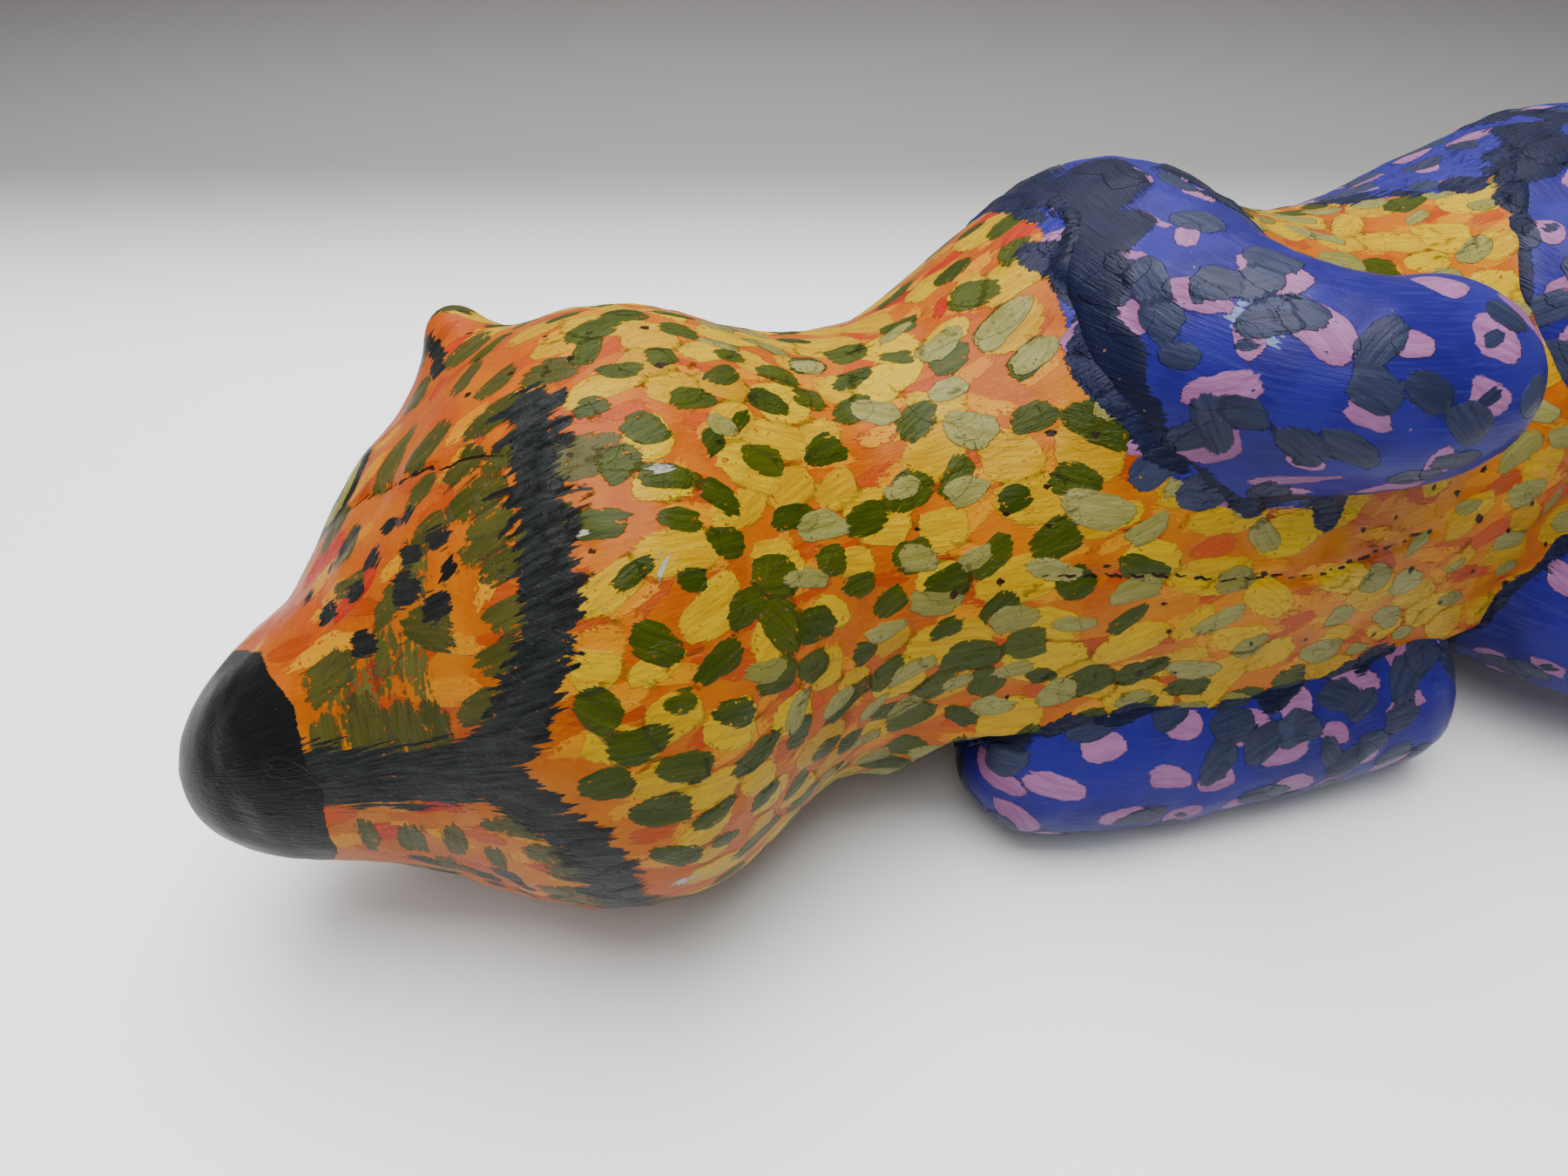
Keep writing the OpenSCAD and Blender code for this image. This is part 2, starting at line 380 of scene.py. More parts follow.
def trunk_rays(rows, columns):
    """Start points on the spine and the ways out from them, as grids."""
    front, rear = NOSE_X + NOSE_FAN, RUMP_X - RUMP_FAN
    lengths = [NOSE_FAN * math.pi / 2, rear - front, RUMP_FAN * math.pi / 2]
    q = np.linspace(FIRST_SHARE, LAST_SHARE, rows) * sum(lengths)
    x = np.clip(front + q - lengths[0], front, rear)
    lean = np.minimum(q / NOSE_FAN, math.pi / 2) - math.pi / 2
    lean += np.maximum(q - lengths[0] - lengths[1], 0) / RUMP_FAN
    start = spine_at(x)[:, None, :] * np.ones((1, columns, 1))
    angle = np.arange(columns) * 2 * math.pi / columns
    roll = roll_at(x)[:, None]
    out_y = -np.cos(angle) * np.cos(roll) + np.sin(angle) * np.sin(roll)
    out_z = np.cos(angle) * np.sin(roll) + np.sin(angle) * np.cos(roll)
    flat = np.cos(lean)[:, None]
    way = np.stack([np.sin(lean)[:, None] * np.ones_like(out_y), out_y * flat, out_z * flat], -1)
    return start, way, np.degrees(angle)[None, :] * np.ones((rows, 1))


def trunk_radii(rows, columns):
    """How far the CAD trunk's surface lies along each ray, with the drilled holes filled."""
    corners = [vertex.co for vertex in CAD_TRUNK.vertices]
    tree = BVHTree.FromPolygons(corners, [tuple(face.vertices) for face in CAD_TRUNK.polygons])
    start, way, _ = trunk_rays(rows, columns)
    out = 0.16
    radii = np.zeros((rows, columns))
    for i in range(rows):
        for j in range(columns):
            origin = Vector(start[i, j] + way[i, j] * out)
            hit = tree.ray_cast(origin, Vector(-way[i, j]), out)[3]
            radii[i, j] = out - hit if hit is not None else np.nan
    lost = np.isnan(radii)
    radii[lost] = np.nanmedian(radii)
    reach = radii * np.linalg.norm(way[..., 1:], axis=-1)
    hole = (start[..., 0] > RUMP_X - RUMP_FAN - MM) & (reach < SOCKET_R + 2 * MM)
    last = int(np.argmax(hole.any(1))) if hole.any() else rows
    radii[last:] = radii[last - 1].mean()
    whole_rows = 12
    radii[whole_rows:] = fill_pits(radii, 2)[whole_rows:]
    return radii


def stretch(grid, rows, columns):
    """A coarse grid, with closed columns, read off at more rows and columns."""
    old_rows, old_columns = grid.shape
    i = np.linspace(0, old_rows - 1, rows)
    low = np.minimum(i.astype(int), old_rows - 2)
    share = (i - low)[:, None]
    tall = grid[low] * (1 - share) + grid[low + 1] * share
    j = np.arange(columns) * old_columns / columns
    left = j.astype(int)
    share = (j - left)[None, :]
    return tall[:, left] * (1 - share) + tall[:, (left + 1) % old_columns] * share


class Trunk(Skin):
    """The carved head and body."""

    def __init__(self):
        coarse = trunk_radii(TRUNK_ROWS // COARSE, TRUNK_COLUMNS // COARSE)
        radii = blur(stretch(coarse, TRUNK_ROWS, TRUNK_COLUMNS), 3.2, 3.6)
        start, way, angle = trunk_rays(TRUNK_ROWS, TRUNK_COLUMNS)
        points = start + way * radii[..., None]
        self.radii = radii
        super().__init__(points, (points[..., 0] - NOSE_X) / MM, angle)

    def above(self, points):
        """Rough height in metres of other points over the trunk's side."""
        x = np.clip(points[..., 0], NOSE_X + NOSE_FAN, RUMP_X - RUMP_FAN)
        away = points - spine_at(x)
        roll = roll_at(x)
        belly = -away[..., 1] * np.cos(roll) + away[..., 2] * np.sin(roll)
        flank = away[..., 1] * np.sin(roll) + away[..., 2] * np.cos(roll)
        angle = np.arctan2(flank, belly) % (2 * math.pi)
        cap = NOSE_FAN * math.pi / 2
        whole = cap + RUMP_FAN * math.pi / 2 + (RUMP_X - RUMP_FAN - NOSE_X - NOSE_FAN)
        share = (x - NOSE_X - NOSE_FAN + cap) / whole
        row = (share - FIRST_SHARE) / (LAST_SHARE - FIRST_SHARE) * (TRUNK_ROWS - 1)
        row = np.clip(row.astype(int), 0, TRUNK_ROWS - 1)
        column = (angle / (2 * math.pi) * TRUNK_COLUMNS).astype(int) % TRUNK_COLUMNS
        return np.hypot(belly, flank) - self.radii[row, column]


# ---------------- the limbs' shapes

NOSE = np.array([-341.0, -7.4, -0.5])
# The middle line of each limb, in millimetres from the nose as in the part's source, and its radii
LIMBS = {
    "left_front_leg":
        ([(296, 56, 128), (268, 14, 146), (246, -82, 152), (334, -66, 147)], (36, 33, 26, 24)),
    "right_front_leg":
        ([(208, -42, 35), (240, -58, 26), (300, -60, 25), (366, -68, 28)], (26, 27, 26, 25)),
    "left_hind_leg":
        ([(500, 50, 104), (418, 30, 132), (346, -104, 142), (500, -96, 136)], (38, 36, 28, 22)),
    "right_hind_leg":
        ([(490, 14, 52), (410, 4, 38), (344, -104, 54), (506, -106, 42)], (34, 33, 28, 22)),
    "tail": ([(534, 18, 86), (640, 20, 84), (700, 60, 60), (640, 140, 30)], (24, 22, 18, 12)),
}
LIMB_ROWS, LIMB_COLUMNS = 190, 150


def bezier(values, t):
    """A curve through the first and last of four values, at each of the shares t."""
    values = [np.asarray(v, float) for v in values]
    t = t.reshape(t.shape + (1,) * values[0].ndim)
    while len(values) > 1:
        values = [a + (b - a) * t for a, b in zip(values, values[1:])]
    return values[0]


def round_end(far, radius):
    """Share of the full radius, at a distance from a round end."""
    return np.sqrt(np.maximum(0, 1 - np.maximum(0, 1 - far / radius) ** 2))


class Limb(Skin):
    """A leg or the tail: round rings along a curved middle line, closed at both ends."""

    def __init__(self, name):
        line, radii = LIMBS[name]
        u = np.linspace(0.0005, 0.9995, LIMB_ROWS)
        t = 0.35 * u + 0.65 * (1 - np.cos(math.pi * u)) / 2
        centre = bezier(line, t)
        way = unit(bezier([np.subtract(b, a) for a, b in zip(line, line[1:])], t))
        full = bezier([np.array(r) for r in radii], t)
        radius = full * round_end(np.linalg.norm(centre - line[3], axis=1), radii[3])
        radius = radius * round_end(np.linalg.norm(centre - line[0], axis=1), radii[0])
        side = unit(np.cross(way, [0, 0, 1.0]))
        over = np.cross(side, way)
        angle = np.arange(LIMB_COLUMNS) * 2 * math.pi / LIMB_COLUMNS
        ring = side[:, None] * np.cos(angle)[:, None] + over[:, None] * np.sin(angle)[:, None]
        points = (centre[:, None] + ring * radius[:, None, None] + NOSE) * MM
        along = np.concatenate([[0], np.cumsum(np.linalg.norm(np.diff(centre, axis=0), axis=1))])
        self.centre = (centre + NOSE) * MM
        self.full = full * MM
        whole = along[:, None] * np.ones((1, LIMB_COLUMNS))
        super().__init__(points, whole, np.degrees(angle)[None, :] * np.ones((LIMB_ROWS, 1)))

    def above(self, points, with_way=False):
        """Height in metres of other points over this limb's surface, and the way out from it."""
        best = np.full(points.shape[:-1], np.inf)
        way = np.zeros(points.shape)
        for place, radius in zip(self.centre[::4], self.full[::4]):
            away = points - place
            far = np.linalg.norm(away, axis=-1) - radius
            nearer = far < best
            best[nearer] = far[nearer]
            if with_way:
                way[nearer] = away[nearer]
        return (best, unit(way)) if with_way else best


# ---------------- paint on the trunk

# Places on the trunk are millimetres behind the nose and degrees round from the belly
FACE_MIDDLE = 14.0
MOUTH = [(71, 15), (79, 22), (84, 28), (89, 34), (92, 40), (94, 48), (95, 56), (97, 65), (101, 77)]
PHILTRUM = [(30, 20), (43, 16), (53, 14), (62, 14), (71, 14)]
# Whisker spots on one cheek: place and half length
SPOTS = [
    (57, 90, 2.2), (64, 77, 2.8), (69, 74, 2.4), (74, 63, 3.8),
    (52, 90, 2.4), (59, 73, 3.2), (67, 65, 3.2), (74, 55, 2.8),
    (48, 90, 2.0), (54, 69, 3.4), (64, 58, 4.6), (70, 50, 4.6),
    (41, 90, 1.8), (45, 72, 3.8), (53, 54, 3.8),
]
# Half-dry green dabs on the muzzle beside the black line: place, half width and half length
FLAMES = [(39, 31, 4, 6), (48, 31, 6, 8), (56, 28, 5, 7), (63, 26, 4, 6)]
CHIN_DABS = [(42, -10, 3, 6), (51, -11, 3.4, 7), (60, -9, 3.2, 6.5), (68, -14, 3, 5), (57, -26, 3, 5)]
SCRUBS = [(44, 48), (50, 42), (56, 46), (62, 41), (67, 60)]
# The body's dabs start behind this line, given as angles from the face's middle and places
LIP_ANGLES = (0, 1, 8, 14, 20, 26, 34, 42, 51, 63, 72, 100, 180)
LIP_PLACES = (78, 79, 87, 92, 96, 99, 101, 102, 104, 106, 100, 92, 92)
MOUTH_DABS = [(82, 66), (84, 58), (86, 50), (84, 42), (80, 35), (74, 28)]
# For each leg: how far its blue reaches over the trunk, how far its joint's dark paint, partly a
# painted crease shadow, reaches over it, where its paint starts along the trunk, and where its joint
# ends on the belly
JOINTS = {
    "left_front_leg": (6, 8, 190, 290),
    "right_front_leg": (2, 5, 212, 330),
    "left_hind_leg": (2, 2, 376, 425),
    "right_hind_leg": (7, 4, 350, 440),
}
# The blue patch over the left hip: place along and round the trunk, half length and half width
HIP_PATCH = (455, 112, 105, 60)
EYE = (54, 117)
EAR = (90, 128)
HEAD_CRACK = [(57, 102), (68, 88), (79, 77), (90, 70), (98, 67), (105, 65)]
BELLY_CRACK = [(214, 12), (226, 9), (238, 6), (250, 3), (262, 0), (275, -1), (288, -2), (300, 0), (330, 2)]


def mirrored(path):
    """The same places on the other side of the face."""
    return [(place[0], 2 * FACE_MIDDLE - place[1], *place[2:]) for place in path]


def paint_trunk(trunk, limbs):
    """Lays the trunk's strokes: scattered dabs first, then the face, the joints and the cracks."""
    s, a = trunk.along, trunk.angle
    around = np.abs((a - FACE_MIDDLE + 180) % 360 - 180)
    lip = np.interp(around, LIP_ANGLES, LIP_PLACES)
    body = ease(s - lip, 2, 8)
    waist = ease(s, 300, 350)
    belly = 1 - ease(around, 22, 55)
    back = ease(around, 95, 135)
    scale = 0.85 + 0.2 * ease(s, 150, 230) - 0.15 * waist

    whole = ease(s, 18, 30)
    trunk.scatter("rust", 8.5, 6.5, 2.6, 0.6 * whole, 19, 0.35)
    trunk.scatter("amber", 8.5, 6.5, 2.6, (0.3 + 0.4 * body) * whole, 18, 0.35)
    red = 0.9 * ease(around, 75, 105) * ease(s, 60, 90) + 0.35 * (1 - ease(s, 40, 90))
    shoulder = 0.8 * ease(around, 55, 75) * ease(s, 160, 180)
    trunk.scatter("red", 11, 6.5, 2.6, np.maximum(red, shoulder), 15, 0.35)
    yellow = body * (1 - 0.75 * back) * (0.97 - 0.15 * waist)
    trunk.scatter("yellow", 12.0, 8.6, 5.7, 0.9 * yellow, 11, 0.35, scale)
    olive = body * (1 - 0.97 * belly * ease(s, 215, 260)) * (0.97 - 0.25 * waist) * (1 - 0.25 * back)
    olive = olive * (1 - 0.75 * ease(s, 310, 350) * (1 - back))
    trunk.scatter("olive", 11.0, 6.2, 4.1, olive, 12, 0.4, scale)
    muzzle = (1 - body) * ease(s, 36, 44) * ease(around, 26, 42)
    trunk.scatter("dry", 11.0, 7.0, 4.0, 0.95 * muzzle + 0.5 * body * back, 13, 0.35)
    sage = ease(s, 120, 180) * (1 - ease(around, 55, 95)) * 0.85
    trunk.scatter("sage", 11.5, 6.0, 3.3, sage, 14, 0.35, scale)
    cheek = ease(s, 88, 96) * (1 - ease(s, 112, 128))
    cheek = cheek * ease(around, 20, 30) * (1 - ease(around, 60, 75))
    trunk.scatter("chip", 9, 2.2, 1.2, 0.35 * cheek, 24, 0.8)
    worn = 0.5 * ease(s, 85, 95) * (1 - ease(s, 130, 150)) * ease(around, 30, 40)
    trunk.scatter("worm", 9, 1.0, 0.9, worn * (1 - back) + 0.35 * belly * ease(s, 170, 190), 25, 0.8)

    random = np.random.default_rng(21)
    for dabs in (FLAMES, CHIN_DABS):
        for along, angle, wide, tall in dabs:
            trunk.stroke("dry", trunk.find(along, angle), math.pi / 2, tall, wide, random)
    for along, angle in SCRUBS:
        trunk.stroke("scrub", trunk.find(along, angle), 1.3, 9, 5.5, random)
    for dabs in (MOUTH_DABS, mirrored(MOUTH_DABS)):
        for along, angle in dabs:
            trunk.stroke("dry", trunk.find(along, angle), 0, 7, 3.8, random)

    nose_edge = 34 - 14 * np.minimum((around - 8) / 90, 1.15) ** 2
    trunk.region("nose", (s - nose_edge) * 0.9 + 0.6 * waves(trunk.points, 14, 33))
    trunk.band("black", PHILTRUM, 7.8)
    for path in (MOUTH, mirrored(MOUTH)):
        trunk.band("black", path, (7.0, 5.4))
        tuft_places = [path[0], path[1], *path[2:-1:2], path[-1]]
        for point in trunk.path_points(tuft_places, 2.2)[2:]:
            off = ((trunk.points - point) ** 2).sum(-1)
            row, column = np.unravel_index(np.argmin(off), off.shape)
            side = random.choice((-1, 1)) * random.uniform(3.8, 7.0) * MM
            where = (int(row + side / trunk.row_step[row, column]), column)
            long_size, wide_size = random.uniform(2.5, 6.0), random.uniform(0.8, 1.5)
            trunk.stroke("tuft", where, random.normal(0, 0.3), long_size, wide_size, random)
    for spots in (SPOTS, mirrored(SPOTS)):
        for along, angle, size in spots:
            turn = random.uniform(-0.5, 0.5)
            trunk.stroke("spots", trunk.find(along, angle), turn, size * 0.98, size * 0.74, random)
    for angle in (EYE[1], 360 - EYE[1]):
        where = trunk.find(EYE[0], angle)
        trunk.stroke("eye_rim", where, 0.15, 14.5, 11, random)
        trunk.stroke("eye", where, 0.15, 11.4, 7.8, random)
        trunk.stroke("pupil", where, 0.3, 4.8, 4.4, random)
    for turn in (1, -1):
        middle = EAR[1] if turn > 0 else 360 - EAR[1]
        fold = [(EAR[0] - 6, middle - 14 * turn)]
        fold += [(EAR[0] - 4, middle - 6 * turn), (EAR[0] - 6, middle)]
        trunk.band("spots", fold, 2.4)
    away = 14
    for name, (reach, _, root, paw) in JOINTS.items():
        far = limbs[name].above(trunk.points) / MM + away * (1 - ease(s, root, root + away))
        far = far + away * ease(s, paw, paw + away) * (1 - ease(around, 55, 70))
        # Dark navy joint paint in the crease along each leg, partly a painted shadow of the crease
        trunk.region("seam", far - 3.5 + 3.0 * waves(trunk.points, 22, 31))
        trunk.region("haunch", far - reach + 0.15 * reach * waves(trunk.points, 50, 32))
        rim = np.abs(far - reach + 2 + 0.15 * reach * waves(trunk.points, 50, 32))
        trunk.region("rim", rim - 4.0 + 4.0 * waves(trunk.points, 20, 34))
    hip = np.hypot((s - HIP_PATCH[0]) / HIP_PATCH[2], (a - HIP_PATCH[1]) * 1.35 / HIP_PATCH[3]) - 1
    hip = hip * HIP_PATCH[3] + 2.5 * waves(trunk.points, 40, 35)
    trunk.region("haunch", hip)
    trunk.region("rim", np.abs(hip + 1) - 3 + 3 * waves(trunk.points, 16, 36))
    for path in (HEAD_CRACK, BELLY_CRACK):
        trunk.band("crack", path, 0.35)
    blue = np.where(trunk.layers["haunch"] < -4, 0.85, 0.0)
    dabs = trunk.scatter("mauve", 13, 6.8, 4.4, blue, 16, 0.8)
    trunk.beside("slate", dabs, 8.6, 7.0, 4.9, 0.8, 17)
    trunk.tints["gold"] = belly * ease(s, 190, 240) * 0.8 + 0.35 * (1 - ease(s, 85, 100)) * belly
    face = (1 - ease(s, 90, 115)) * ease(around, 30, 60)
    trunk.tints["pink"] = np.clip(0.75 * back + 0.95 * face + 0.5 * waist * belly, 0, 1)


# The swelling at a joint starts this far from it
BLEND = 22.0


def swell(far):
    """Height that carries one surface over to another where they meet, far millimetres away."""
    return BLEND / 4 * np.maximum(0, 1 - np.abs(far) / BLEND) ** 2


def carve_trunk(trunk, limbs):
    """Tool marks, thick paint, cracks, chips and worm holes, as real relief."""
    points, s = trunk.points, trunk.along
    joined = np.zeros(s.shape)
    for name in JOINTS:
        joined = np.maximum(joined, swell(limbs[name].above(points) / MM))
    points = points + trunk.normal * joined[..., None] * MM
    height = 0.55 * waves(points, 46, 41) + 0.22 * waves(points, 15, 42)
    height += 0.07 * waves(points, 6, 43)
    thick = {"yellow": 0.12, "olive": 0.12, "sage": 0.22, "black": 0.1, "seam": 0.9}
    for name, tall in thick.items():
        height += tall * (1 - ease(trunk.layers[name], -1.0, 0.6))
    for angle, tall in ((EAR[1], 5.5), (360 - EAR[1], 1.5)):
        away = np.linalg.norm(points - points[trunk.find(EAR[0] + 3, angle)], axis=-1) / MM
        height += tall * np.exp(-((away / 8.5) ** 2))
    height -= 0.8 * (1 - ease(trunk.layers["crack"], 0.0, 1.8))
    height -= 0.6 * (1 - ease(trunk.layers["worm"], -0.6, 0.4))
    height -= 0.25 * (1 - ease(trunk.layers["chip"], -0.8, 0.4))
    ends = ease(s, 2, 14) * (1 - ease(s, 545, 558))
    trunk.points = points + trunk.normal * (height * ends)[..., None] * MM


# ---------------- paint on the limbs


def paint_leg(leg, trunk, seed, crease):
    """Dark joint paint, partly a painted crease shadow, up to crease millimetres over the trunk, and the
    dabs and relief of the rest.
    """
    over_trunk = trunk.above(leg.points) / MM
    # Dark navy joint paint where the leg meets the trunk, partly a painted shadow of the crease
    leg.region("seam", over_trunk - crease + 4.0 * waves(leg.points, 20, seed))
    free = np.where(over_trunk > crease, 0.95, 0.0)
    dabs = leg.scatter("mauve", 12.4, 6.4, 4.1, 0.95 * free, seed + 1, 0.5)
    leg.scatter("slate", 17, 6.6, 4.4, 0.6 * free, seed + 8, 0.5)
    leg.beside("hole", dabs, 1.5, 2.8, 1.8, 0.3, seed + 5)
    leg.beside("slate", dabs, 8.0, 6.6, 4.6, 0.85, seed + 2)
    leg.scatter("streak", 24, 11, 1.5, 0.6 * free, seed + 3, 0.3)
    leg.scatter("lavender", 40, 8.0, 4.5, 0.4 * free, seed + 4, 0.6)
    height = 0.5 * waves(leg.points, 30, seed + 6) + 0.16 * waves(leg.points, 11, seed + 7)
    height += swell(over_trunk)
    for name, tall in (("mauve", 0.14), ("slate", 0.2), ("seam", 0.6)):
        height += tall * (1 - ease(leg.layers[name], -1.0, 0.6))
    whole = leg.along.max()
    fade = np.minimum(ease(leg.along, 1, 8), 1 - ease(leg.along, whole - 6, whole))
    leg.points = leg.points + leg.normal * (height * fade)[..., None] * MM


def paint_tail(tail):
    """Dabs like the body's, which leaves the muzzle's scrubbed layer empty."""
    tail.layer("scrub")
    tail.scatter("yellow", 15, 8, 5.4, 0.85, 71, 0.3)
    tail.scatter("rust", 8.5, 6.5, 2.6, 0.7, 79, 0.35)
    tail.scatter("amber", 8.5, 6.5, 2.6, 0.7, 78, 0.35)
    tail.scatter("olive", 13, 6.2, 3.8, 0.8, 72, 0.3)
    tail.scatter("dry", 22, 6.2, 3.0, 0.4, 77, 0.3)
    tail.scatter("red", 16, 6, 2.2, 0.6, 73, 0.3)
    tail.scatter("sage", 20, 5.6, 3.2, 0.4, 74, 0.3)
    tail.tints["gold"] = np.full(tail.along.shape, 0.3)
    tail.tints["pink"] = np.full(tail.along.shape, 0.4)
    height = 0.4 * waves(tail.points, 30, 75) + 0.12 * waves(tail.points, 10, 76)
    fade = 1 - ease(tail.along, tail.along.max() - 6, tail.along.max())
    tail.points = tail.points + tail.normal * (height * fade)[..., None] * MM


def cope_tail(tail, rump):
    """Pushes the part of the tail's root that lies in the rump out onto the rump's face."""
    gap = 0.3 * MM
    points = tail.points
    near = points[..., 0] < RUMP_X + 12 * MM
    bare = np.zeros(near.shape)
    for i, j in zip(*np.nonzero(near)):
        y, z = points[i, j, 1], points[i, j, 2]
        hit = rump.ray_cast(Vector((RUMP_X + 0.05, y, z)), Vector((-1, 0, 0)))[0]
        if hit is not None and hit.x + gap > points[i, j, 0]:
            points[i, j, 0] = hit.x + gap
            bare[i, j] = 1
    return bare


# ---------------- materials


# The light here is bright, so paints are this share of their colour on a screen
PAINT_DARK = 0.4


def warm(red, green, blue, rich=0.8):
    """Paint of a screen colour, from 0 to 255, without the share rich of the grey in it."""
    light = [((c / 255 + 0.055) / 1.055) ** 2.4 if c > 10 else c / 3295 for c in (red, green, blue)]
    grey = min(light) * rich
    return [(c - grey) * PAINT_DARK for c in light] + [1]


def cool(red, green, blue):
    """Paint of a screen colour that keeps most of its grey."""
    return warm(red, green, blue, 0.1)


class Shade:
    """A material, and the nodes that are added to it one after another."""

    def __init__(self, name, roughness, coat=0.0):
        self.material = bpy.data.materials.new(name)
        self.material.use_nodes = True
        self.tree = self.material.node_tree
        self.shader = self.tree.nodes["Principled BSDF"]
        self.shader.inputs["Roughness"].default_value = roughness
        self.shader.inputs["Coat Weight"].default_value = coat
        self.shader.inputs["Coat Roughness"].default_value = 0.2
        self.shader.inputs["Specular IOR Level"].default_value = 0.1

    def put(self, kind, inputs, **settings):
        """Adds a node; each input is a number, a colour or another node's output."""
        node = self.tree.nodes.new(kind)
        for key, value in settings.items():
            setattr(node, key, value)
        for key, value in inputs.items():
            if isinstance(value, bpy.types.NodeSocket):
                self.tree.links.new(value, node.inputs[key])
            else:
                node.inputs[key].default_value = value
        return node

    def read(self, name, kind="Fac"):
        return self.put("ShaderNodeAttribute", {}, attribute_name=name).outputs[kind]

    def place(self):
        return self.put("ShaderNodeTexCoord", {}).outputs["Object"]

    def work(self, operation, first, second, kind="ShaderNodeMath"):
        return self.put(kind, {0: first, 1: second}, operation=operation).outputs[0]

    def add(self, first, second):
        return self.work("ADD", first, second)

    def less(self, first, second):
        return self.work("SUBTRACT", first, second)

    def times(self, first, second):
        return self.work("MULTIPLY", first, second)

    def scaled(self, vector, factors):
        return self.work("MULTIPLY", vector, factors, "ShaderNodeVectorMath")

    def noise(self, vector, scale, detail=2.0, rough=0.55):
        inputs = {"Vector": vector, "Scale": scale, "Detail": detail, "Roughness": rough}
        return self.put("ShaderNodeTexNoise", inputs).outputs[0]

    def ramp(self, value, low, high, bottom=0.0, top=1.0):
        inputs = {"Value": value, "From Min": low, "From Max": high, "To Min": bottom, "To Max": top}
        return self.put("ShaderNodeMapRange", inputs, interpolation_type="SMOOTHSTEP").outputs[0]

    def mix(self, share, below, above):
        node = self.put("ShaderNodeMix", {0: share, 6: below, 7: above}, data_type="RGBA")
        return node.outputs[2]

    def finish(self, colour, height, strength=1.0):
        self.tree.links.new(colour, self.shader.inputs["Base Color"])
        bump = self.put("ShaderNodeBump", {"Height": height, "Strength": strength, "Distance": MM})
        self.tree.links.new(bump.outputs[0], self.shader.inputs["Normal"])
        return self.material


class Coats(Shade):
    """Acrylic paint in several coats: a ground, then layers of strokes over it."""

    def __init__(self, name, roughness=0.34):
        super().__init__(name, roughness)
        self.here = self.place()
        self.grain = self.noise(self.here, 900, 3, 0.6)
        self.lumps = self.noise(self.here, 260, 2, 0.5)
        self.grit = self.noise(self.here, 620, 3, 0.6)
        flow = self.scaled(self.read("flow", "Vector"), (0.1, 1.1, 1.1))
        self.hairs = self.noise(flow, 1.0, 3, 0.6)
        self.colour = None
        self.height = self.times(self.hairs, 0.16)

    def ground(self, dark, middle, light, gold=None, pink=None):
        """The first coat: three tones in streaks, turned to gold or pink where those tints say."""
        drift = self.noise(self.here, 38, 4, 0.62)
        self.colour = self.mix(self.ramp(drift, 0.4, 0.6), dark, middle)
        streaks = self.ramp(self.hairs, 0.5, 0.66, 0, 0.8)
        if gold is not None:
            share = self.times(self.read("pink"), self.ramp(drift, 0.7, 0.35))
            self.colour = self.mix(share, self.colour, pink)
            share = self.times(self.read("gold"), self.ramp(drift, 0.3, 0.62))
            self.colour = self.mix(share, self.colour, gold)
        self.colour = self.mix(streaks, self.colour, light)

    def strokes(self, name, dark, light, ragged=1.6, dry=0.0, thick=0.12, hair_gap=0.9):
        """One layer of brush strokes. dry is how much of the coat below shows through."""
        at = self.read(name + "_at", "Vector")
        hair = self.noise(self.scaled(at, (0.1, hair_gap, 3.1)), 1.0, 2, 0.6)
        tone = self.noise(self.scaled(at, (0.0, 0.0, 5.3)), 1.0, 0)
        swing = self.times(self.less(hair, 0.5), ragged * 2)
        crumb = self.times(self.less(self.lumps, 0.5), 1.4)
        edge = self.add(self.read(name), self.add(swing, crumb))
        mask = self.ramp(edge, -0.12, 0.12, 1.0, 0.0)
        if dry > 0:
            inner = self.ramp(edge, -2.6, 0.0, dry * 0.4, dry)
            speck = self.add(self.times(self.grit, 0.72), self.times(hair, 0.28))
            open_at = self.less(0.69, self.times(inner, 0.2))
            gap = self.ramp(self.less(speck, open_at), -0.012, 0.02)
            mask = self.times(mask, self.less(1.0, gap))
        blend = self.add(self.times(hair, 0.5), self.times(tone, 0.5))
        shade = self.mix(self.ramp(blend, 0.36, 0.64), dark, light)
        self.colour = self.mix(mask, self.colour, shade)
        ridge = self.add(thick, self.times(hair, 0.2))
        self.height = self.add(self.height, self.times(mask, ridge))

    def lay(self, layers):
        for layer in layers:
            self.strokes(*layer)

    def done(self):
        """The material, with white flecks, and bare wood where the piece has no paint."""
        flecks = self.noise(self.here, 420, 1, 0.5)
        white = self.ramp(flecks, 0.79, 0.82, 0.0, 0.8)
        self.colour = self.mix(white, self.colour, warm(222, 206, 176))
        fine = self.times(self.grain, 0.07)
        self.height = self.add(self.height, fine)
        rings = self.noise(self.scaled(self.here, (0.25, 1, 1)), 300, 2, 0.5)
        wood = self.mix(rings, warm(176, 134, 88), warm(208, 172, 122))
        colour = self.mix(self.read("bare"), self.colour, wood)
        return self.finish(colour, self.height)


# Layers of strokes, lowest first: name, two colours, raggedness, dryness, thickness, hair spacing
DABS = (
    ("rust", warm(196, 82, 28), warm(222, 104, 60), 1.6, 0.6, 0.05),
    ("amber", warm(234, 140, 22), warm(246, 172, 30), 1.6, 0.6, 0.05),
    ("red", warm(206, 50, 30), warm(226, 84, 52), 1.4, 0.5),
    ("yellow", warm(212, 154, 2), warm(240, 200, 4), 1.3, 0.45, 0.2),
    ("scrub", warm(96, 98, 50, 0.45), warm(126, 122, 70, 0.45), 3.0, 1.7),
    ("dry", warm(78, 80, 36, 0.45), warm(106, 102, 56, 0.45), 1.7, 0.62),
    ("olive", warm(62, 76, 18), warm(92, 100, 30), 1.2, 0.42, 0.16),
    ("sage", warm(158, 152, 84, 0.45), warm(196, 192, 136, 0.45), 0.9, 0.3, 0.4),
)
